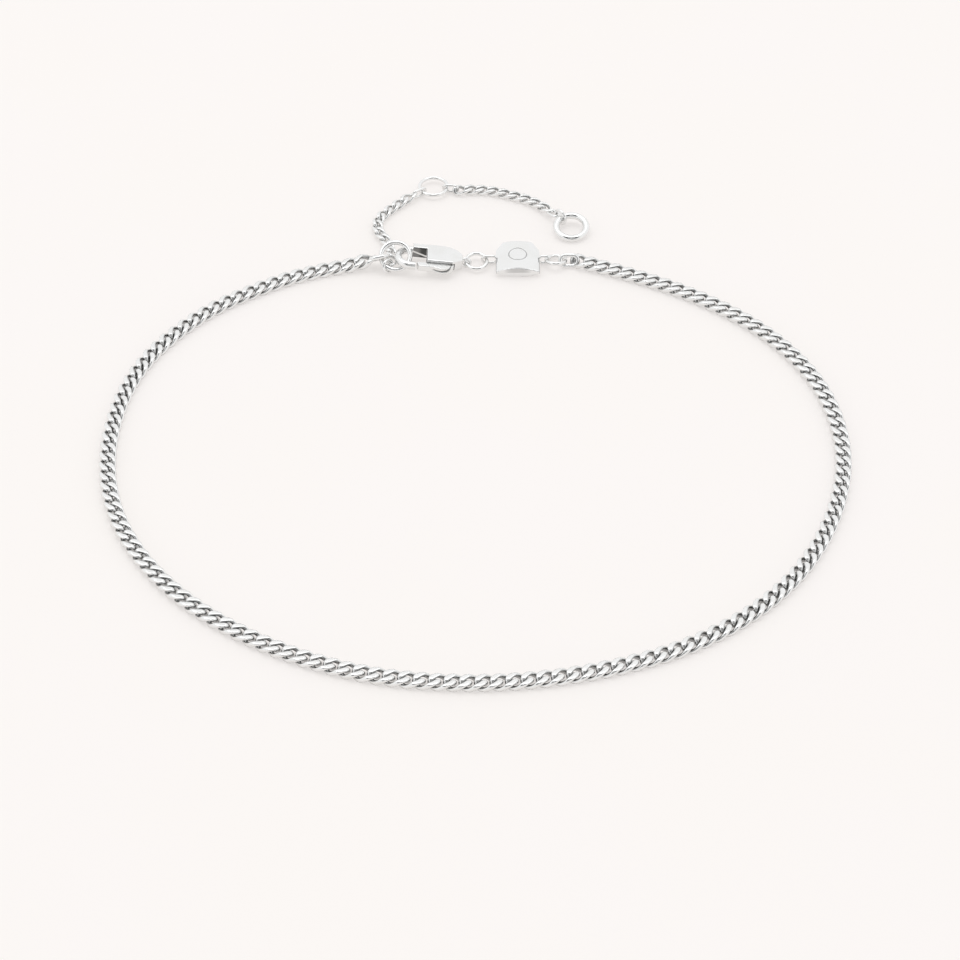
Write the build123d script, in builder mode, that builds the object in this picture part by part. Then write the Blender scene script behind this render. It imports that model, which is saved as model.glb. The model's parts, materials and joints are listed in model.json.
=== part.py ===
"""Chain anklet: a curb chain closed by a lobster clasp, with a tag and a short extension chain.

All sizes are millimetres. X runs to the right, Y away from the wearer's side of the loop and Z up.
The anklet lies on the plane Z = 0 and the origin is at the middle of its box.
The chains are tubes of the chain's own width and thickness along their true routes. The links
that pass through rings, the rings, the tag and the clasp are made as they are.
"""

import math
import os

from build123d import *

os.makedirs("parts", exist_ok=True)

# Main chain: flat curb links
CHAIN_WIDTH = 2.2
CHAIN_THICKNESS = 1.07
CHAIN_WIRE = 0.55
CHAIN_LINK_LENGTH = 2.8
CHAIN_LINK_WIDTH = 1.92
CHAIN_ROUTE = [
    (13.7, 27.45),
    (18.9, 25.8),
    (28.0, 21.2),
    (36.6, 14.1),
    (42.5, 4.2),
    (44.3, -7.9),
    (41.5, -20.0),
    (35.1, -30.7),
    (24.9, -38.8),
    (12.6, -43.2),
    (-0.3, -44.75),
    (-13.2, -43.2),
    (-25.2, -38.0),
    (-35.4, -29.8),
    (-42.2, -18.6),
    (-44.2, -6.0),
    (-41.9, 7.4),
    (-34.6, 17.7),
    (-25.2, 24.0),
    (-19.3, 26.3),
    (-14.2, 27.2),
]

# Extension chain: finer curb links, in two stretches either side of the middle ring
FINE_WIDTH = 1.6
FINE_THICKNESS = 0.9
FINE_WIRE = 0.36
FINE_LINK_LENGTH = 2.36
FINE_LINK_WIDTH = 1.35
FIRST_STRETCH_ROUTE = [
    (-10.9, 29.05),
    (-11.1, 30.4),
    (-11.6, 32.3),
    (-12.7, 34.1),
    (-12.8, 36.3),
    (-11.7, 38.1),
    (-10.0, 39.7),
    (-8.5, 41.05),
]
SECOND_STRETCH_ROUTE = [
    (-2.0, 42.75),
    (-0.4, 43.0),
    (2.0, 42.7),
    (4.4, 41.8),
    (6.6, 40.9),
    (8.4, 39.6),
    (9.4, 38.4),
]

# Rings of round wire: where the middle is, which way the ring faces, outside diameter, wire
RINGS = {
    "clasp_ring": ((-10.2, 27.64, 1.69), (0, -0.583, 1), 4.35, 0.62),
    "extension_joining_ring": ((-11.15, 26.47, 1.0), (0.745, -0.586, 0.319), 2.0, 0.4),
    "middle_ring": ((-5.55, 43.3, 0.68), (0, 0, 1), 4.2, 0.5),
    "end_joining_ring": ((11.1, 36.3, 1.16), (0.79, 0.61, 0), 2.3, 0.4),
    "end_ring": ((12.45, 34.6, 0.85), (0, -0.19, 1), 4.8, 0.9),
    "clasp_link_ring": ((0.14, 27.75, 0.76), (0, -0.114, 1), 3.2, 0.5),
    "tag_ring": ((10.33, 28.0, 0.75), (0, 0.28, 1), 3.0, 0.5),
}

# Oval links that pass through the rings: middle, direction of the long axis, way the link faces
MAIN_LINKS = {
    "chain_link_at_clasp": ((-12.34, 27.44, 1.54), (0.967, 0, 0.255), (-0.185, 0.695, 0.694)),
    "chain_link_at_tag": ((12.0, 27.75, 0.85), (1, 0, 0), (0, -0.77, 0.64)),
}
FINE_LINKS = {
    "fine_link_at_clasp": ((-10.67, 27.62, 0.99), (-0.097, 0.992, -0.078), (-0.079, 0.071, 0.994)),
    "fine_link_before_middle": ((-7.43, 41.95, 0.68), (0.82, 0.57, 0), (0.57, -0.82, 0)),
    "fine_link_after_middle": ((-3.28, 42.9, 0.68), (0.985, -0.17, 0), (0.17, 0.985, 0)),
    "fine_link_at_end": ((10.19, 37.42, 0.88), (0.62, -0.79, 0.2), (-0.12, 0.16, 1)),
}

# Tag: a plaque domed across its width, with its two far corners cut and a loop at each side
TAG_WIDTH = 5.56
TAG_DEPTH = 5.6
TAG_THICKNESS = 1.45
TAG_EDGE = 0.36
TAG_CORNER_X = 0.95
TAG_CORNER_Y = 1.35
TAG_ROUND = 0.1
TAG_MIDDLE_X = 5.43
TAG_NEAR_Y = 25.45
LOOP_WIRE = 0.36
LOOP_RADIUS = 0.54
LOOP_SINK = 0.3
LOOP_Y = 28.1
LOOP_Z = 0.74
LEFT_LOOP_END = 0.7
RIGHT_LOOP_END = 9.75

# Lobster clasp, in its own frame: X from hook to tail, Y from lever to spine, Z through its flat
CLASP_SEAT = (-7.72, 27.51, 1.49)
CLASP_PITCH = 6.2
CLASP_ROLL = -4.0
HOOK_RADIUS = 1.7
HOOK_MIDDLE = -0.49
NOSE_END = 0.05
HOOK_WIRE = 1.0
BODY_THICKNESS = 1.6
BODY_START = 1.5
BODY_FRONT = -1.35
BODY_SPINE = 2.2
BODY_ROUND = 0.2
ARM_END = -0.3
ARM_FRONT = 1.2
SPINE_END = 3.4
SPINE_RADIUS = 3.2
SHOULDER = 4.8
TAIL_END = 6.1
TAIL_HALF_WIDTH = 0.6
TAIL_LOOP_X = 6.55
TAIL_LOOP_RADIUS = 0.56
TAIL_LOOP_WIRE = 0.4
TAIL_LOOP_SIDE = 0.001
SLOT_HEIGHT = 0.92
SLOT_BACK = 0.35
SLOT_DEPTH = 3.05
SLOT_END = 5.1
PIVOT = (3.9, -0.8)
PIN_RADIUS = 0.32
PIN_GAP = 0.04
HUB_RADIUS = 0.62
LEVER_THICKNESS = 0.84
LEVER_FRONT = -2.15
LEVER_BACK = -1.3
LEVER_REACH = 3.7
LEVER_ROUND = 0.12
THUMB_MIDDLE = (3.5, -1.55)
THUMB_HALF_LENGTH = 1.5
THUMB_HALF_WIDTH = 0.95


def corner_radii(points):
    """A tangent arc for each corner: 0.45 of its shorter run over the tangent of half its turn."""
    radii = []
    for before, here, after in zip(points, points[1:], points[2:]):
        run_in = Vector(here) - Vector(before)
        run_out = Vector(after) - Vector(here)
        half_turn = math.radians(run_in.get_angle(run_out)) / 2
        radii.append(0.45 * min(run_in.length, run_out.length) / math.tan(half_turn))
    return radii


def report_tube(name, radii, length, part, width, thickness):
    """Prints the bend radii of a chain's tube and compares its volume with section times length."""
    section = math.pi * width * thickness / 4
    print(name, "bend radii", [round(radius, 1) for radius in radii])
    print(name, "length", round(length, 1), "volume / (section x length)", part.volume / (section * length))


# The chains: an oval section carried along straight runs joined by tangent arcs, on the plane
for name, route, width, thickness in (
    ("main_chain", CHAIN_ROUTE, CHAIN_WIDTH, CHAIN_THICKNESS),
    ("extension_chain_first", FIRST_STRETCH_ROUTE, FINE_WIDTH, FINE_THICKNESS),
    ("extension_chain_second", SECOND_STRETCH_ROUTE, FINE_WIDTH, FINE_THICKNESS),
):
    points = [(x, y, thickness / 2) for x, y in route]
    bends = corner_radii(points)
    with BuildPart() as chain:
        with BuildLine() as path:
            FilletPolyline(*points, radius=bends)
        along = path.line % 0
        with BuildSketch(Plane(path.line @ 0, x_dir=along.cross(Vector(0, 0, 1)), z_dir=along)):
            Ellipse(width / 2, thickness / 2)
        sweep()
    report_tube(name, bends, path.wires()[0].length, chain.part, width, thickness)
    chain.part.label = name
    export_step(chain.part, f"parts/{name}.step")

# The rings: a circle of wire turned about the ring's own axis
for name, (middle, faces, outside, wire) in RINGS.items():
    seat = Plane(middle, z_dir=faces)
    with BuildPart() as ring:
        with BuildSketch(Plane(middle, x_dir=seat.x_dir, z_dir=seat.y_dir)):
            with Locations((outside / 2 - wire / 2, 0)):
                Circle(wire / 2)
        revolve(axis=Axis(middle, seat.z_dir))
    ring.part.label = name
    export_step(ring.part, f"parts/{name}.step")

def wire_oval(seat, length, width, wire):
    """Round wire bent into an oval lying in the seat's plane: two straight sides, two round ends."""
    radius = (width - wire) / 2
    side = (length - width) / 2
    with BuildPart() as oval:
        with BuildLine(seat) as path:
            Line((-side, radius), (side, radius))
            ThreePointArc((side, radius), (side + radius, 0), (side, -radius))
            Line((side, -radius), (-side, -radius))
            ThreePointArc((-side, -radius), (-side - radius, 0), (-side, radius))
        with BuildSketch(Plane(path.line @ 0, z_dir=path.line % 0)):
            Circle(wire / 2)
        sweep()
    return oval.part


# The oval links at the ends of the chains
for table, length, width, wire in (
    (MAIN_LINKS, CHAIN_LINK_LENGTH, CHAIN_LINK_WIDTH, CHAIN_WIRE),
    (FINE_LINKS, FINE_LINK_LENGTH, FINE_LINK_WIDTH, FINE_WIRE),
):
    for name, (middle, along, faces) in table.items():
        link = wire_oval(Plane(middle, x_dir=along, z_dir=faces), length, width, wire)
        link.label = name
        export_step(link, f"parts/{name}.step")

# The tag's two loops stand upright, with their inner ends soldered into its thin side edges
tag_left = TAG_MIDDLE_X - TAG_WIDTH / 2
tag_right = TAG_MIDDLE_X + TAG_WIDTH / 2
loop_width = 2 * LOOP_RADIUS + LOOP_WIRE
tag_loops = []
for start, end in ((LEFT_LOOP_END, tag_left + LOOP_SINK), (tag_right - LOOP_SINK, RIGHT_LOOP_END)):
    seat = Plane(((start + end) / 2, LOOP_Y, LOOP_Z), x_dir=(1, 0, 0), z_dir=(0, -1, 0))
    tag_loops.append(wire_oval(seat, end - start, loop_width, LOOP_WIRE))

# The tag: a bar of lens section, its far corners cut, with the loops added
low_edge = (TAG_THICKNESS - TAG_EDGE) / 2
high_edge = (TAG_THICKNESS + TAG_EDGE) / 2
with BuildPart() as tag:
    with BuildSketch(Plane.XZ.offset(-TAG_NEAR_Y)):
        with BuildLine():
            ThreePointArc((tag_left, high_edge), (TAG_MIDDLE_X, TAG_THICKNESS), (tag_right, high_edge))
            Line((tag_right, high_edge), (tag_right, low_edge))
            ThreePointArc((tag_right, low_edge), (TAG_MIDDLE_X, 0), (tag_left, low_edge))
            Line((tag_left, low_edge), (tag_left, high_edge))
        make_face()
    extrude(amount=-TAG_DEPTH)
    far_corners = tag.edges().filter_by(Axis.Z).sort_by(Axis.Y)[-2:]
    side_faces = tag.faces().filter_by(Axis.X)
    for corner in far_corners:
        side = side_faces.sort_by_distance(corner.center())[0]
        chamfer(corner, length=TAG_CORNER_Y, length2=TAG_CORNER_X, reference=side)
    fillet(tag.faces().filter_by(Axis.Y).edges(), TAG_ROUND)
    add(tag_loops)
tag.part.label = "tag"
export_step(tag.part, "parts/tag.step")

# The clasp lies on its ring, leaned down to the tail and rolled a little to its spine
CLASP = Plane(CLASP_SEAT).rotated((CLASP_ROLL, CLASP_PITCH, 0))
tail_seat = Plane(CLASP.from_local_coords((TAIL_LOOP_X, 0, 0)), x_dir=CLASP.x_dir, z_dir=-CLASP.y_dir)
tail_loop_width = 2 * TAIL_LOOP_RADIUS + TAIL_LOOP_WIRE
tail_loop = wire_oval(tail_seat, tail_loop_width + TAIL_LOOP_SIDE, tail_loop_width, TAIL_LOOP_WIRE)

# The clasp's body: a thick plate that narrows to the tail and reaches along the spine as an arm,
# the hook's round bar, the slot and the pin
with BuildPart() as clasp_body:
    with BuildSketch(CLASP):
        with BuildLine():
            Polyline(
                (TAIL_END, -TAIL_HALF_WIDTH),
                (SHOULDER, BODY_FRONT),
                (BODY_START, BODY_FRONT),
                (BODY_START, ARM_FRONT),
                (ARM_END, ARM_FRONT),
                (ARM_END, BODY_SPINE),
                (SPINE_END, BODY_SPINE),
            )
            RadiusArc((SPINE_END, BODY_SPINE), (TAIL_END, TAIL_HALF_WIDTH), SPINE_RADIUS)
            Line((TAIL_END, TAIL_HALF_WIDTH), (TAIL_END, -TAIL_HALF_WIDTH))
        make_face()
    extrude(amount=BODY_THICKNESS / 2, both=True)
    fillet(clasp_body.faces().filter_by(CLASP).edges(), BODY_ROUND)
    with BuildLine(CLASP) as hook:
        Line((BODY_START + HOOK_WIRE / 2, HOOK_RADIUS), (HOOK_MIDDLE, HOOK_RADIUS))
        ThreePointArc(
            (HOOK_MIDDLE, HOOK_RADIUS),
            (HOOK_MIDDLE - HOOK_RADIUS, 0),
            (HOOK_MIDDLE, -HOOK_RADIUS),
        )
        Line((HOOK_MIDDLE, -HOOK_RADIUS), (NOSE_END, -HOOK_RADIUS))
    with BuildSketch(Plane(hook.line @ 0, z_dir=hook.line % 0)):
        Circle(HOOK_WIRE / 2)
    sweep()
    with BuildSketch(CLASP):
        with Locations((SLOT_END, SLOT_BACK)):
            Rectangle(SLOT_END, SLOT_DEPTH, align=(Align.MAX, Align.MAX))
        with Locations((0, -HOOK_RADIUS)):
            Circle(BODY_START, mode=Mode.SUBTRACT)
    extrude(amount=SLOT_HEIGHT / 2, both=True, mode=Mode.SUBTRACT)
    with BuildSketch(CLASP):
        with Locations(PIVOT):
            Circle(PIN_RADIUS)
    extrude(amount=SLOT_HEIGHT / 2, both=True)
    add(tail_loop)
clasp_body.part.label = "clasp_body"
export_step(clasp_body.part, "parts/clasp_body.step")

# The clasp's lever: gate bar, hub on the pin and thumb lobe, its tip cut to clear the hook's nose
with BuildPart() as clasp_lever:
    with BuildSketch(CLASP):
        with Locations((PIVOT[0], LEVER_BACK)):
            Rectangle(PIVOT[0], LEVER_BACK - LEVER_FRONT, align=(Align.MAX, Align.MAX))
        with Locations(THUMB_MIDDLE):
            Ellipse(THUMB_HALF_LENGTH, THUMB_HALF_WIDTH)
        with Locations(PIVOT):
            Circle(HUB_RADIUS)
            Circle(LEVER_REACH, mode=Mode.INTERSECT)
            Circle(PIN_RADIUS + PIN_GAP, mode=Mode.SUBTRACT)
    extrude(amount=LEVER_THICKNESS / 2, both=True)
    outer_edges = clasp_lever.faces().filter_by(CLASP).edges().sort_by(SortBy.LENGTH)
    fillet(outer_edges[2:], LEVER_ROUND)
clasp_lever.part.label = "clasp_lever"
export_step(clasp_lever.part, "parts/clasp_lever.step")
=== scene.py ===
"""Chain anklet: curb chain, lobster clasp, domed tag and extension chain in polished silver."""

import json
import math

import bmesh
import bpy
import numpy as np
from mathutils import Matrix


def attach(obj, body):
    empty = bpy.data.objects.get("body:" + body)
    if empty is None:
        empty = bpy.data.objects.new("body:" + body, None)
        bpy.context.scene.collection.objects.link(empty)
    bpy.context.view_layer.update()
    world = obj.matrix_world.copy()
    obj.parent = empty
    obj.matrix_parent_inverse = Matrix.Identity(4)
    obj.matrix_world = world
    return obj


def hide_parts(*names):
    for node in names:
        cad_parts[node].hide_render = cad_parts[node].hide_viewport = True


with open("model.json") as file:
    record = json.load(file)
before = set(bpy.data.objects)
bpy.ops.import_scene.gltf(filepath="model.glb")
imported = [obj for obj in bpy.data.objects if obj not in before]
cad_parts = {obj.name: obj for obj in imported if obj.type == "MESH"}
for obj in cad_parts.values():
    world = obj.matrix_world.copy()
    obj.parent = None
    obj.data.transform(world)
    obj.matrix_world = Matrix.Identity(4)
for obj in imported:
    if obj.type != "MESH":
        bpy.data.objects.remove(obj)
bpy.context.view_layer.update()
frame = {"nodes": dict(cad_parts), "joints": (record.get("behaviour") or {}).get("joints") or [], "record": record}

MM = 0.001

# Main chain: the middle line of its links, from the tag round to the clasp (mm)
CHAIN_ROUTE = [
    (13.7, 27.6, 0.72),
    (18.9, 25.8, 0.535),
    (28.0, 21.2, 0.535),
    (36.6, 14.1, 0.535),
    (42.5, 4.2, 0.535),
    (44.3, -7.9, 0.535),
    (41.5, -20.0, 0.535),
    (35.1, -30.7, 0.535),
    (24.9, -38.8, 0.535),
    (12.6, -43.2, 0.535),
    (-0.3, -44.75, 0.535),
    (-13.2, -43.2, 0.535),
    (-25.2, -38.0, 0.535),
    (-35.4, -29.8, 0.535),
    (-42.2, -18.6, 0.535),
    (-44.2, -6.0, 0.535),
    (-41.9, 7.4, 0.535),
    (-34.6, 17.7, 0.535),
    (-25.2, 24.0, 0.535),
    (-19.3, 26.3, 0.535),
    (-16.2, 26.95, 0.58),
    (-13.98, 27.4, 1.11),
]
# Extension chain: its two stretches, either side of the middle ring (mm)
FIRST_STRETCH_ROUTE = [
    (-10.83, 29.25, 0.84),
    (-11.1, 30.6, 0.5),
    (-11.6, 32.3, 0.45),
    (-12.7, 34.1, 0.45),
    (-12.8, 36.3, 0.45),
    (-11.7, 38.1, 0.45),
    (-10.0, 39.9, 0.47),
    (-8.77, 41.02, 0.6),
]
SECOND_STRETCH_ROUTE = [
    (-1.67, 42.65, 0.6),
    (-0.4, 42.9, 0.47),
    (2.0, 42.7, 0.45),
    (4.4, 41.8, 0.45),
    (6.6, 40.9, 0.45),
    (8.2, 39.8, 0.5),
    (9.2, 38.69, 0.6),
]

# Links: pitch, length, width and thickness, then the wire's width at the ends and at the sides and
# its height (mm), and the lean of each end (degrees)
MAIN_LINK = dict(
    pitch=1.69, length=3.26, width=2.14, thickness=1.02, end=0.76, side=0.5, wire=0.66, lean=-56
)
FINE_LINK = dict(
    pitch=1.5, length=2.8, width=1.56, thickness=0.86, end=0.58, side=0.38, wire=0.48, lean=-56
)
LINK_SQUARENESS = 0.78
LEAN_SHAPE = 0.7
LINK_STEPS = 40
LINK_SIDES = 12
ROUTE_STEPS = 24
# Painted shade in the links' recesses: how far out from a wire's surface the room is looked for, as a share of the
# wire's half-width, among how many links either way, and how much room, as a share of the wire, makes the
# painted shade full and how much makes it none
PROBE_REACH = 0.9
NEIGHBOURS = 2
FULL_RECESS_ROOM = -0.12
NO_RECESS_ROOM = 0.3
# Between these shares of a wire's half-width its inner side grows dark with painted shade
INNER_SIDE = (0.1, 0.8)

# The three stretches of chain: the name of their links, their CAD node, their route and their link,
# and how dark the painted shade in their recesses is, from 0 to 1
STRETCHES = (
    ("main_chain_links", "main_chain", CHAIN_ROUTE, MAIN_LINK, 0.68),
    ("first_stretch_links", "extension_chain_first", FIRST_STRETCH_ROUTE, FINE_LINK, 0.25),
    ("second_stretch_links", "extension_chain_second", SECOND_STRETCH_ROUTE, FINE_LINK, 0.5),
)

# Clasp, in its own frame (mm): X from hook to tail, Y from lever to spine, Z through its flat
PIVOT = (3.9, -0.8, 0)
HUB_INNER = 0.36
HUB_OUTER = 0.62
LEVER_HALF_THICKNESS = 0.42
LEVER_FRONT = -2.15
LEVER_BACK = -1.3
LEVER_REACH = 3.7
LEVER_END = 4.99
THUMB_MIDDLE = (3.5, -1.55)
THUMB_HALF_LENGTH = 1.5
THUMB_HALF_WIDTH = 0.95
LEVER_ROUND = 0.1
# The lobe's gap to the pin, and the least half-width that the bar's rounded ends keep
LEVER_PIN_GAP = 0.04
LEAST_HALF_WIDTH = 0.01
HUB_STEPS = 48
HUB_SIDES = 20
HUB_SQUARENESS = 0.3
# Between these pairs of X the lobe's edges grow crisp, and soft again
CRISP_BEGINS = (3.15, 3.35)
CRISP_ENDS = (4.5, 4.7)
CRISP_ROUND = 0.03
# The groove round the thumb rest: how far down from the near top edge it runs at each X, how broad
# it is, where it fades in and out, its depth as a share of the lobe and how dark the painted shade in it is
GROOVE_X = (2.0, 2.7, 3.4, 4.0, 4.35, 4.55, 4.65)
GROOVE_DOWN = (0.5, 0.5, 0.46, 0.36, 0.12, -0.25, -0.9)
BREADTH_X = (2.0, 3.3, 4.0, 4.4)
GROOVE_BREADTH = (0.07, 0.11, 0.2, 0.23)
GROOVE_BEGINS = (1.9, 2.5)
GROOVE_ENDS = (4.7, 4.85)
GROOVE_DEPTH = 0.13
GROOVE_SHADE = 1.2

# The clasp's arm (mm, in the clasp's frame): a painted dark reflection on its inner face fades in and out
# along X and across Y, one painted bright band crosses it, sloping down to the tail, and the painted
# reflection is a little lighter towards the hook
ARM_FACE_BEGINS = (-0.36, -0.22)
ARM_FACE_ENDS = (1.4, 1.55)
ARM_FACE_NEAR = (1.0, 1.1)
ARM_FACE_FAR = (1.22, 1.34)
BAND_SLOPE = 0.36
BAND_HEIGHT = 0.06
BAND_EDGE = (0.05, 0.17)
ARM_LIGHTER_END = (0.3, 0.9)
ARM_LIGHTENING = 0.2
ARM_PAINTED_REFLECTION = 1.22

# Tag (mm): painted dark reflection along its near top edge, painted shade on its side faces, and the
# engraved circle with painted shade in its line
TAG_MIDDLE_X = 5.43
TAG_NEAR_Y = 25.45
TAG_MIDDLE_Z = 0.73
TAG_TOP_EDGE = 0.1
TAG_CIRCLE_Y = 28.4
TAG_CIRCLE_RADIUS = 1.15
CIRCLE_EDGE = (0.03, 0.09)
CIRCLE_SHADE = 0.5
SIDE_FACE_X = (2.7, 2.76)
SIDE_FACE_Y = (27.3, 28.0)
SIDE_SHADE = 0.9
ARCH_CURVE = 0.09
ARCH_EDGE = (0.02, 0.34)
ARCH_REFLECTION_DARK = 0.42


# ---------------------------------------------------------------- small tools on arrays

def unit(v):
    """The same directions with length one."""
    return v / np.linalg.norm(v, axis=-1, keepdims=True)


def power(v, exponent):
    """A signed power: it keeps the sign of v and raises its size, which squares off a circle."""
    return np.sign(v) * np.abs(v) ** exponent


def smooth(low, high, v):
    """0 below low, 1 above high, and an S curve of third degree between."""
    t = np.clip((v - low) / (high - low), 0, 1)
    return t * t * (3 - 2 * t)


def turn_of(count):
    """Angles once round, evenly spaced, without the repeated last one."""
    return np.linspace(0, 2 * math.pi, count, endpoint=False)


# ---------------------------------------------------------------- meshes

def make_piece(name, points, faces):
    """A smooth-shaded object with its place in its mesh."""
    mesh = bpy.data.meshes.new(name)
    mesh.from_pydata(points.reshape(-1, 3).tolist(), [], faces)
    mesh.validate()
    mesh.shade_smooth()
    piece = bpy.data.objects.new(name, mesh)
    bpy.context.scene.collection.objects.link(piece)
    return piece


def grid_faces(rows, columns, wrap_rows, start=0):
    """Four-sided faces of a grid whose columns close on themselves, and whose rows may."""
    row = np.arange(rows if wrap_rows else rows - 1)[:, None]
    column = np.arange(columns)[None, :]
    next_row = (row + 1) % rows
    next_column = (column + 1) % columns
    corners = [
        row * columns + column,
        row * columns + next_column,
        next_row * columns + next_column,
        next_row * columns + column,
    ]
    return (np.stack([c + 0 * row for c in corners], axis=-1).reshape(-1, 4) + start).tolist()


def ring_of_sections(path, outward, up, half_out, half_up, sides, exponent=1.0):
    """Points of a section carried along a path: path + outward half-width x cos + up half-height x sin."""
    angle = turn_of(sides)
    across = power(np.cos(angle), exponent)[None, :, None]
    height = power(np.sin(angle), exponent)[None, :, None]
    half_out = np.broadcast_to(half_out, len(path))[:, None, None]
    half_up = np.broadcast_to(half_up, len(path))[:, None, None]
    return path[:, None] + half_out * across * outward[:, None] + half_up * height * up[:, None]


# ---------------------------------------------------------------- what the frame says

def principal_frame(node):
    """Middle, three axes (long, middle, short) and full sizes of a CAD node, from its faces' areas."""
    mesh = frame["nodes"][node].data
    points = np.empty(len(mesh.vertices) * 3)
    mesh.vertices.foreach_get("co", points)
    points = points.reshape(-1, 3)
    mesh.calc_loop_triangles()
    corners = np.empty(len(mesh.loop_triangles) * 3, dtype=np.int64)
    mesh.loop_triangles.foreach_get("vertices", corners)
    corners = points[corners.reshape(-1, 3)]
    areas = np.linalg.norm(np.cross(corners[:, 1] - corners[:, 0], corners[:, 2] - corners[:, 0]), axis=1)
    centres = corners.mean(axis=1)
    middle = np.average(centres, axis=0, weights=areas)
    spread = np.einsum("i,ij,ik->jk", areas, centres - middle, centres - middle)
    axes = np.linalg.eigh(spread)[1][:, ::-1].T
    axes[2] = np.cross(axes[0], axes[1])
    local = (points - middle) @ axes.T
    low, high = local.min(axis=0), local.max(axis=0)
    return middle + (low + high) / 2 @ axes, axes, high - low


# ---------------------------------------------------------------- rings and oval links

def oval_wire(middle, axes, sizes, steps=112, sides=24):
    """Surface of a wire bent into an oval.

    The middle line is two straight sides and two half circles. Each of its points carries a round
    section that lies across the line: middle line + radius x (outward cos + axis sin).
    """
    length, width, wire = sizes
    radius = (width - wire) / 2
    side = max(length - width, 0) / 2
    angle = turn_of(steps)
    outward = np.cos(angle)[:, None] * axes[0] + np.sin(angle)[:, None] * axes[1]
    half = np.sign(np.round(np.cos(angle), 6))
    path = middle + radius * outward + side * half[:, None] * axes[0]
    up = np.broadcast_to(axes[2], path.shape)
    return ring_of_sections(path, outward, up, wire / 2, wire / 2, sides)


def ring_piece(node):
    """A ring or oval link in the place of its CAD node."""
    middle, axes, sizes = principal_frame(node)
    points = oval_wire(middle, axes, sizes)
    rows, columns = points.shape[:2]
    return make_piece(node + "_wire", points, grid_faces(rows, columns, True))


# ---------------------------------------------------------------- the clasp's lever

def clasp_frame():
    """Seat (mm) and three axes of the clasp, from its lever's hinge, which stands at the pivot."""
    hinge = frame["joints"][0]
    z_axis = -unit(np.array(hinge["axis"]))
    y_axis = unit(np.cross(z_axis, [1.0, 0, 0]))
    axes = np.stack([np.cross(y_axis, z_axis), y_axis, z_axis])
    return np.array(hinge["pos_m"]) / MM - np.array(PIVOT) @ axes, axes


def square_turn(side):
    """Points once round a square from -1 to 1, with the same number on each side."""
    run = np.linspace(-1, 1, side, endpoint=False)
    one = np.ones(side)
    return np.concatenate([run, one, -run, -one]), np.concatenate([-one, run, one, -run])


def lever_bar(steps=180, side=16):
    """Surface of the lever's gate bar and thumb lobe in the clasp's frame, and the painted shade in its groove.

    Each section along X is a box from a near to a far edge, with rounded corners. The near edge is
    straight and then bulges along an ellipse; the far edge is straight and closes on the ellipse. A
    groove of bell-shaped section goes round the lobe and drops towards its tip.
    """
    u = np.linspace(0, 1, steps)
    start = PIVOT[0] - LEVER_REACH
    x = start + (LEVER_END - start) * u
    lobe = np.sqrt(np.clip(1 - ((x - THUMB_MIDDLE[0]) / THUMB_HALF_LENGTH) ** 2, 0, 1))
    near = THUMB_MIDDLE[1] - THUMB_HALF_WIDTH * lobe
    near = np.where(x < THUMB_MIDDLE[0], np.minimum(near, LEVER_FRONT), near)
    far = np.minimum(PIVOT[1] - HUB_INNER - LEVER_PIN_GAP, THUMB_MIDDLE[1] + THUMB_HALF_WIDTH * lobe)
    far = np.where(x < PIVOT[0], np.maximum(far, LEVER_BACK), far)
    to_end = np.clip(np.minimum(x - start, LEVER_END - x) / LEVER_ROUND, 0, 1)
    narrowing = LEVER_ROUND * (1 - np.sqrt(1 - (1 - to_end) ** 2))
    half_across = np.maximum((far - near) / 2 - narrowing, LEAST_HALF_WIDTH)[:, None]
    half_high = (LEVER_HALF_THICKNESS - narrowing)[:, None]
    crisp = smooth(*CRISP_BEGINS, x) * (1 - smooth(*CRISP_ENDS, x))
    corner = np.minimum((LEVER_ROUND - (LEVER_ROUND - CRISP_ROUND) * crisp)[:, None], half_across)
    a, b = square_turn(side)
    across, high = a * half_across, b * half_high
    core_across = np.clip(across, corner - half_across, half_across - corner)
    core_high = np.clip(high, corner - half_high, half_high - corner)
    reach = np.maximum(np.hypot(across - core_across, high - core_high), 1e-9)
    across = core_across + corner * (across - core_across) / reach
    high = core_high + corner * (high - core_high) / reach
    down = (half_high - high) - (across + half_across)
    place = np.interp(x, GROOVE_X, GROOVE_DOWN)[:, None]
    breadth = np.interp(x, BREADTH_X, GROOVE_BREADTH)[:, None]
    strength = (smooth(*GROOVE_BEGINS, x) * (1 - smooth(*GROOVE_ENDS, x)))[:, None]
    groove = strength * np.exp(-(((down - place) / breadth) ** 2))
    sink = 1 - GROOVE_DEPTH * groove
    y = ((near + far) / 2)[:, None] + across * sink
    z = high * sink
    tip = PIVOT[0] - np.sqrt(LEVER_REACH**2 - (y - PIVOT[1]) ** 2)
    return np.stack([tip + (LEVER_END - tip) * u[:, None], y, z], axis=2), groove * GROOVE_SHADE


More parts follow.
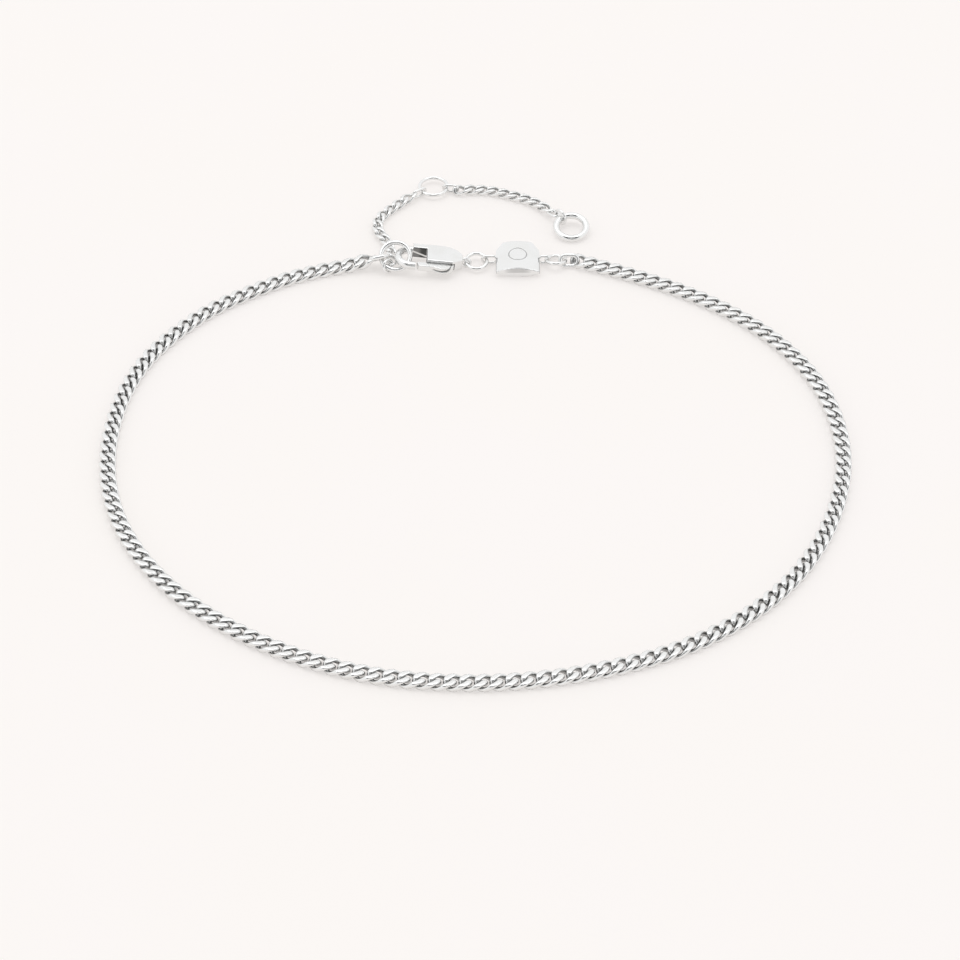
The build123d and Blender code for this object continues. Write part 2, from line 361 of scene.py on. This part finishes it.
def lever_piece():
    """The lever: the bar with its lobe, and the hub that turns on the rivet."""
    bar, painted_shade = lever_bar()
    rows, columns = bar.shape[:2]
    faces = grid_faces(rows, columns, False)
    faces += [list(range(columns)), list(range((rows - 1) * columns, rows * columns))]
    turn = turn_of(HUB_STEPS)
    outward = np.stack([np.cos(turn), np.sin(turn), 0 * turn], axis=1)
    up = np.broadcast_to([0, 0, 1.0], outward.shape)
    middle = (HUB_INNER + HUB_OUTER) / 2
    half = (HUB_OUTER - HUB_INNER) / 2
    hub = ring_of_sections(
        PIVOT + middle * outward, outward, up, half, LEVER_HALF_THICKNESS, HUB_SIDES, HUB_SQUARENESS
    )
    faces += grid_faces(HUB_STEPS, HUB_SIDES, True, start=rows * columns)
    seat, axes = clasp_frame()
    points = np.concatenate([bar.reshape(-1, 3), hub.reshape(-1, 3)]) @ axes + seat
    piece = make_piece("clasp_lever_polished", points * MM, faces)
    shell = bmesh.new()
    shell.from_mesh(piece.data)
    bmesh.ops.recalc_face_normals(shell, faces=shell.faces)
    shell.to_mesh(piece.data)
    shell.free()
    # Painted shade in the groove round the thumb rest, kept per point for the material
    painted_shade_layer = piece.data.attributes.new("painted_shade", "FLOAT", "POINT")
    painted_shade_layer.data.foreach_set("value", np.concatenate([painted_shade.ravel(), np.zeros(HUB_STEPS * HUB_SIDES)]))
    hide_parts("clasp_lever")
    return piece


# ---------------------------------------------------------------- curb chain

def curb_link(pitch, length, width, thickness, end, side, wire, lean):
    """Surface of one curb link about the origin, its long axis along X, in mm, and its painted shade.

    The middle line is a squared oval, x = A cos t and y = B sin t with both raised to a power below
    one, turned about X by an angle that goes with a power of cos t, so that the two ends lean
    opposite ways. The wire's section is an oval, wide at the ends and narrow at the sides, by sin t
    squared. Its top and bottom are ground flat at half the chain's thickness. The painted shade is 1 on
    the wire's inner side and where a neighbour's wire stands right in front of the surface, and 0
    in the open: it goes by the room left at a wire's radius out along the normal.
    """
    t = turn_of(LINK_STEPS)
    along = (length - end) / 2 * power(np.cos(t), LINK_SQUARENESS)
    across = (width - side) / 2 * power(np.sin(t), LINK_SQUARENESS)
    turn = math.radians(lean) * power(np.cos(t), LEAN_SHAPE)
    path = np.stack([along, across * np.cos(turn), across * np.sin(turn)], axis=1)
    tangent = unit(np.roll(path, -1, axis=0) - np.roll(path, 1, axis=0))
    outward = unit(path - (path * tangent).sum(axis=1, keepdims=True) * tangent)
    up = np.cross(outward, tangent)
    half_out = end / 2 + (side - end) / 2 * np.sin(t) ** 2
    surface = ring_of_sections(path, outward, up, half_out, wire / 2, LINK_SIDES)
    probe = surface + (surface - path[:, None]) * PROBE_REACH
    shifts = np.arange(-NEIGHBOURS, NEIGHBOURS + 1)[:, None] * np.array([pitch, 0, 0])
    wires = (path[None] + shifts[:, None]).reshape(-1, 3)
    room = np.linalg.norm(probe[:, :, None] - wires, axis=3).min(axis=2) - wire / 2
    inner = smooth(*INNER_SIDE, -np.cos(turn_of(LINK_SIDES)))[None]
    painted_shade = np.maximum(1 - smooth(FULL_RECESS_ROOM, NO_RECESS_ROOM, room / wire), inner)
    surface[..., 2] = np.clip(surface[..., 2], -thickness / 2, thickness / 2)
    return surface, painted_shade


def route_line(name, points):
    """Points of the smooth line (a second-degree NURBS spline) that has the route's points, in mm."""
    curve = bpy.data.curves.new(name, "CURVE")
    curve.dimensions = "3D"
    curve.resolution_u = ROUTE_STEPS
    spline = curve.splines.new("NURBS")
    spline.points.add(len(points) - 1)
    for place, point in zip(spline.points, points):
        place.co = (*point, 1)
    spline.order_u = 3
    spline.use_endpoint_u = True
    holder = bpy.data.objects.new(name, curve)
    bpy.context.scene.collection.objects.link(holder)
    bpy.context.view_layer.update()
    mesh = bpy.data.meshes.new_from_object(holder)
    line = np.empty(len(mesh.vertices) * 3)
    mesh.vertices.foreach_get("co", line)
    bpy.data.objects.remove(holder)
    bpy.data.meshes.remove(mesh)
    return line.reshape(-1, 3)


def chain_piece(name, node, route, link, shade_strength):
    """Curb links along a route, each turned to the line between its neighbours' middles.

    The last argument is how dark the painted shade in the links' recesses is, from 0 to 1.
    """
    line = route_line(name + "_route", route)
    steps = np.linalg.norm(np.diff(line, axis=0), axis=1)
    run = np.concatenate([[0], np.cumsum(steps)])
    pitch = link["pitch"]
    count = round(run[-1] / pitch) + 1
    places = np.linspace(0, run[-1], count)

    def at(distance):
        return np.stack([np.interp(distance, run, line[:, i]) for i in range(3)], axis=1)

    reach = pitch / 2
    ahead = at(np.clip(places + reach, 0, run[-1]))
    behind = at(np.clip(places - reach, 0, run[-1]))
    x_axis = unit(ahead - behind)
    y_axis = unit(np.cross([0, 0, 1.0], x_axis))
    z_axis = np.cross(x_axis, y_axis)
    turned = np.stack([x_axis, y_axis, z_axis], axis=1)
    surface, painted_shade = curb_link(**link)
    rows, columns = surface.shape[:2]
    points = np.einsum("rci,nij->nrcj", surface, turned) + at(places)[:, None, None]
    one = np.array(grid_faces(rows, columns, True))
    faces = (one[None] + (np.arange(count) * rows * columns)[:, None, None]).reshape(-1, 4)
    piece = make_piece(name, points * MM, faces.tolist())
    # Painted shade in the links' recesses and on their inner sides, kept per point for the material
    painted_shade_layer = piece.data.attributes.new("painted_shade", "FLOAT", "POINT")
    painted_shade_layer.data.foreach_set("value", np.tile(painted_shade.ravel() * shade_strength, count))
    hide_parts(node)
    print(name, "links", count, "pitch", round(run[-1] / (count - 1), 3), "mm")
    return piece


# ---------------------------------------------------------------- materials

class Socket:
    """Wraps a shader socket, so that an expression on values adds its Math nodes."""

    def __init__(self, shader, socket):
        self.shader = shader
        self.socket = socket

    def math(self, operation, *values):
        """One Math node on this value and others."""
        return self.shader.node("ShaderNodeMath", dict(operation=operation), [self, *values])

    def __add__(self, other):
        return self.math("ADD", other)

    def __radd__(self, other):
        return self.math("ADD", other)

    def __mul__(self, other):
        return self.math("MULTIPLY", other)

    def __rmul__(self, other):
        return self.math("MULTIPLY", other)

    def __sub__(self, other):
        return self.math("SUBTRACT", other)

    def __rsub__(self, other):
        return self.shader.node("ShaderNodeMath", dict(operation="SUBTRACT"), [other, self])


class Shader:
    """A node tree that is built by calls."""

    def __init__(self, tree):
        self.tree = tree
        tree.nodes.clear()

    def node(self, kind, settings=None, values=None, output=0):
        """Adds a node: its settings, then the values or links of its inputs by index or name."""
        node = self.tree.nodes.new(kind)
        for key, value in (settings or {}).items():
            setattr(node, key, value)
        pairs = values.items() if isinstance(values, dict) else enumerate(values or [])
        for key, value in pairs:
            if isinstance(value, Socket):
                self.tree.links.new(value.socket, node.inputs[key])
            else:
                node.inputs[key].default_value = value
        return Socket(self, node.outputs[output]) if node.outputs else node

    def colour_mix(self, factor, first, second):
        """A colour between two colours."""
        settings = dict(data_type="RGBA")
        return self.node("ShaderNodeMix", settings, {0: factor, 6: first, 7: second}, output=2)

    def noise(self, scale, detail, coordinates):
        """Noise from 0 to 1 on the given coordinates."""
        return self.node(
            "ShaderNodeTexNoise",
            values={"Vector": coordinates, "Scale": scale, "Detail": detail},
        )

    def stretched(self, coordinates, scale):
        """Coordinates scaled along their three axes."""
        return self.node("ShaderNodeMapping", values={"Vector": coordinates, "Scale": scale})

    def step(self, value, low, high):
        """0 below low, 1 above high and smooth between."""
        return self.node(
            "ShaderNodeMapRange",
            dict(interpolation_type="SMOOTHSTEP"),
            {"Value": value, "From Min": low, "From Max": high},
        )


def rgb(red, green, blue):
    """A pale colour written as on a screen, from 0 to 255, as the linear colour that nodes take."""
    linear = [((c / 255 + 0.055) / 1.055) ** 2.4 for c in (red, green, blue)]
    return (*linear, 1)


SILVER = (0.865, 0.868, 0.866, 1)
SILVER_WARM = (0.83, 0.83, 0.82, 1)
# Painted shade: its colour, and how far it covers the silver where it is full
PAINTED_SHADE_COLOUR = (0.045, 0.047, 0.045, 1)
PAINTED_SHADE_STRENGTH = 0.78
# The engraving's depth (mm), how much finer the handling marks are than the metal's clouding, and
# the clouding's values between which the silver turns warm
CUT_DEPTH = 0.06
MARKS_TO_CLOUD = 14
WARM_EDGE = (0.35, 0.7)


def no_shade_or_engraving(shader, place):
    """No painted shade and nothing engraved."""
    return 0.0, 0.0


def clasp_painted_reflection(shader, place):
    """A painted dark reflection on the inner face of the clasp's arm, crossed by one painted bright slanting band
    and a little lighter towards the hook.
    """
    seat, axes = clasp_frame()
    from_seat = shader.node("ShaderNodeVectorMath", dict(operation="SUBTRACT"), [place, tuple(seat * MM)])
    x, y, z = [
        shader.node("ShaderNodeVectorMath", dict(operation="DOT_PRODUCT"), [from_seat, tuple(a)], output=1)
        * (1 / MM)
        for a in axes
    ]
    along = shader.step(x, *ARM_FACE_BEGINS) * (1 - shader.step(x, *ARM_FACE_ENDS))
    across = shader.step(y, *ARM_FACE_NEAR) * (1 - shader.step(y, *ARM_FACE_FAR))
    band = shader.step((z + x * BAND_SLOPE - BAND_HEIGHT).math("ABSOLUTE"), *BAND_EDGE)
    lighter = (1 - shader.step(x, *ARM_LIGHTER_END)) * ARM_LIGHTENING
    return along * across * band * (1 - lighter) * ARM_PAINTED_REFLECTION, 0.0


def tag_shade_and_engraving(shader, place):
    """The tag's painted dark reflection along its near top edge, painted shade on its side faces, and the fine
    circle engraved on its top, with painted shade in its line.
    """
    x, y, z = [shader.node("ShaderNodeSeparateXYZ", None, [place], output=i) * (1 / MM) for i in range(3)]
    x = x - TAG_MIDDLE_X
    top = shader.step(z, TAG_MIDDLE_Z - TAG_TOP_EDGE, TAG_MIDDLE_Z + TAG_TOP_EDGE)
    north = y - TAG_CIRCLE_Y
    radius = (x * x + north * north).math("SQRT")
    circle = (1 - shader.step((radius - TAG_CIRCLE_RADIUS).math("ABSOLUTE"), *CIRCLE_EDGE)) * top
    sides = shader.step(x.math("ABSOLUTE"), *SIDE_FACE_X) * (1 - shader.step(y, *SIDE_FACE_Y))
    arch = top * (1 - shader.step(y - TAG_NEAR_Y + x * x * ARCH_CURVE, *ARCH_EDGE))
    return sides * SIDE_SHADE + arch * ARCH_REFLECTION_DARK + circle * CIRCLE_SHADE, circle


def polished_silver(
    name, roughness, wear_scale, grain=(1, 1, 1), wave=0.0, scratch=0.02, shade_and_engraving_of=no_shade_or_engraving
):
    """Polished silver: slightly uneven colour and gloss, fine handling marks, and a soft waviness.

    The roughness runs from 0.8 to 1.6 times the given one with the clouding and the marks. wave and
    scratch are depths (mm). The colour darkens with painted shade where a piece's own attribute says so,
    and the last argument adds a piece's own painted shade and painted reflections, and its engraving.
    """
    material = bpy.data.materials.new(name)
    material.use_nodes = True
    shader = Shader(material.node_tree)
    place = shader.node("ShaderNodeTexCoord", output=3)
    cloud = shader.noise(wear_scale, 3.0, place)
    marks = shader.noise(wear_scale * MARKS_TO_CLOUD, 2.0, shader.stretched(place, grain))
    unshaded_silver = shader.colour_mix(shader.step(cloud, *WARM_EDGE), SILVER, SILVER_WARM)
    # Painted shade: a piece's own attribute, and its painted shade and painted reflections from the last argument,
    # darken the colour
    painted_shade = shader.node("ShaderNodeAttribute", dict(attribute_name="painted_shade"), output=2)
    painted_dark, engraved = shade_and_engraving_of(shader, place)
    painted_shade = painted_shade.math("MAXIMUM", painted_dark)
    colour = shader.colour_mix(painted_shade * PAINTED_SHADE_STRENGTH, unshaded_silver, PAINTED_SHADE_COLOUR)
    gloss = cloud * (roughness * 0.5) + marks * (roughness * 0.3) + roughness * 0.8
    fine = shader.node(
        "ShaderNodeBump",
        values={"Strength": 0.25, "Distance": scratch * MM, "Height": marks},
    )
    broad = shader.node(
        "ShaderNodeBump",
        values={"Strength": 0.6, "Distance": wave * MM, "Height": cloud, "Normal": fine},
    )
    cut = shader.node(
        "ShaderNodeBump",
        dict(invert=True),
        {"Strength": 1.0, "Distance": CUT_DEPTH * MM, "Height": engraved, "Normal": broad},
    )
    finish = shader.node(
        "ShaderNodeBsdfPrincipled",
        values={"Base Color": colour, "Metallic": 1.0, "Roughness": gloss, "Normal": cut},
    )
    shader.node("ShaderNodeOutputMaterial", values={"Surface": finish})
    return material


def dress(piece, material, body):
    """Gives a new piece its material and the body that it rides on."""
    piece.data.materials.append(material)
    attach(piece, body)


# ---------------------------------------------------------------- camera, floor and light

CAMERA_ELEVATION = math.radians(44)
CAMERA_DISTANCE = 324.89 * MM
CAMERA_TARGET = np.array([0.6, -12.4, 0.55]) * MM
CAMERA_LENS = 103.5
SEEN_BY = ("Is Camera Ray", "Is Glossy Ray", "Is Transmission Ray")


def make_camera():
    """A long lens looking down on the anklet from its near side."""
    data = bpy.data.cameras.new("camera")
    data.lens = CAMERA_LENS
    data.sensor_width = 36
    data.clip_start = 0.01
    camera = bpy.data.objects.new("camera", data)
    back = np.array([0, -math.cos(CAMERA_ELEVATION), math.sin(CAMERA_ELEVATION)])
    camera.location = CAMERA_TARGET + CAMERA_DISTANCE * back
    camera.rotation_euler = (math.pi / 2 - CAMERA_ELEVATION, 0, 0)
    bpy.context.scene.collection.objects.link(camera)
    bpy.context.scene.camera = camera


FLOOR_COLOUR = rgb(251, 247, 244)
FLOOR_COLOUR_COOL = rgb(251, 247, 245)
FLOOR_GLOW = 0.54
FLOOR_HALF = 1.5


def make_floor():
    """A wide pale floor that glows a little from within, so that the anklet's shadow stays faint.

    The glow is there for rays from the camera and for those that metal and glass send on.
    """
    corners = FLOOR_HALF * np.array([(-1, -1, 0), (1, -1, 0), (1, 1, 0), (-1, 1, 0)])
    floor = make_piece("floor", corners, [(0, 1, 2, 3)])
    material = bpy.data.materials.new("floor")
    material.use_nodes = True
    shader = Shader(material.node_tree)
    place = shader.node("ShaderNodeTexCoord", output=3)
    cloud = shader.noise(30.0, 2.0, place)
    colour = shader.colour_mix(shader.step(cloud, 0.3, 0.7), FLOOR_COLOUR, FLOOR_COLOUR_COOL)
    matt = shader.node("ShaderNodeBsdfDiffuse", values={"Color": colour})
    glow = shader.node("ShaderNodeEmission", values={"Color": colour, "Strength": 1.0})
    rays = [shader.node("ShaderNodeLightPath", output=name) for name in SEEN_BY]
    seen = (rays[0] + rays[1] + rays[2]).math("MINIMUM", 1.0)
    finish = shader.node("ShaderNodeMixShader", values=[seen * FLOOR_GLOW, matt, glow])
    shader.node("ShaderNodeOutputMaterial", values={"Surface": finish})
    floor.data.materials.append(material)


STUDIO_WHITE = (1.0, 1.0, 1.0, 1)
STUDIO_DARK = (0.09, 0.091, 0.093, 1)
# The studio's dark ring: how high its middle stands on the near side, the angles from that middle
# between which it fades in, and those between which the bright window in it opens (degrees)
DARK_ELEVATION = 48
DARK_EDGE = (36, 26)
WINDOW_EDGE = (17, 9)
WINDOW_BRIGHTNESS = 0.85


def make_world():
    """A white studio with a dark ring high on its near side, so that the metal shows its form."""
    world = bpy.data.worlds.new("studio")
    bpy.context.scene.world = world
    world.use_nodes = True
    shader = Shader(world.node_tree)
    direction = shader.node("ShaderNodeTexCoord")
    elevation = math.radians(DARK_ELEVATION)
    dark_side = (0, -math.cos(elevation), math.sin(elevation))
    towards = shader.node(
        "ShaderNodeVectorMath", dict(operation="DOT_PRODUCT"), [direction, dark_side], output=1
    )
    dark, window = [
        shader.step(towards, *(math.cos(math.radians(degrees)) for degrees in edge))
        for edge in (DARK_EDGE, WINDOW_EDGE)
    ]
    dark = dark * (1 - window * WINDOW_BRIGHTNESS)
    colour = shader.colour_mix(dark, STUDIO_WHITE, STUDIO_DARK)
    background = shader.node("ShaderNodeBackground", values={"Color": colour, "Strength": 1.0})
    shader.node("ShaderNodeOutputWorld", values={"Surface": background})


LAMP_SIZE = (1.4, 1.0)
LAMP_POWER = 5.0
LAMP_PLACE = (-0.15, 0.35, 1.5)
LAMP_TURN = (-13, -6, 0)


def make_lights():
    """One wide soft lamp high above the far side of the anklet."""
    data = bpy.data.lights.new("overhead", "AREA")
    data.shape = "RECTANGLE"
    data.size, data.size_y = LAMP_SIZE
    data.energy = LAMP_POWER
    lamp = bpy.data.objects.new("overhead", data)
    lamp.location = LAMP_PLACE
    lamp.rotation_euler = [math.radians(degrees) for degrees in LAMP_TURN]
    bpy.context.scene.collection.objects.link(lamp)


# ---------------------------------------------------------------- the anklet

make_camera()
make_floor()
make_world()
make_lights()
bpy.context.scene.view_settings.view_transform = "Standard"

chain_silver = polished_silver("chain_silver", roughness=0.16, wear_scale=900)
ring_silver = polished_silver("ring_silver", roughness=0.12, wear_scale=600)
clasp_silver = polished_silver(
    "clasp_silver", roughness=0.2, wear_scale=500, wave=0.01, shade_and_engraving_of=clasp_painted_reflection
)
tag_silver = polished_silver(
    "tag_silver", roughness=0.16, wear_scale=300, grain=(0.1, 1, 1), shade_and_engraving_of=tag_shade_and_engraving
)

for name, node, route, link, shade_strength in STRETCHES:
    dress(chain_piece(name, node, route, link, shade_strength), chain_silver, "anklet")

slots = {entry["node"]: entry["material_slot"] for entry in frame["record"]["subparts"]}
tubes = [node for name, node, *_ in STRETCHES]
for node, slot in slots.items():
    if slot in ("rings", "chain") and node not in tubes:
        wire = ring_piece(node)
        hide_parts(node)
        dress(wire, ring_silver if slot == "rings" else chain_silver, "anklet")

dress(lever_piece(), clasp_silver, "lever")
for node, material in (("clasp_body", clasp_silver), ("tag", tag_silver)):
    part = frame["nodes"][node]
    part.data.materials.clear()
    part.data.materials.append(material)
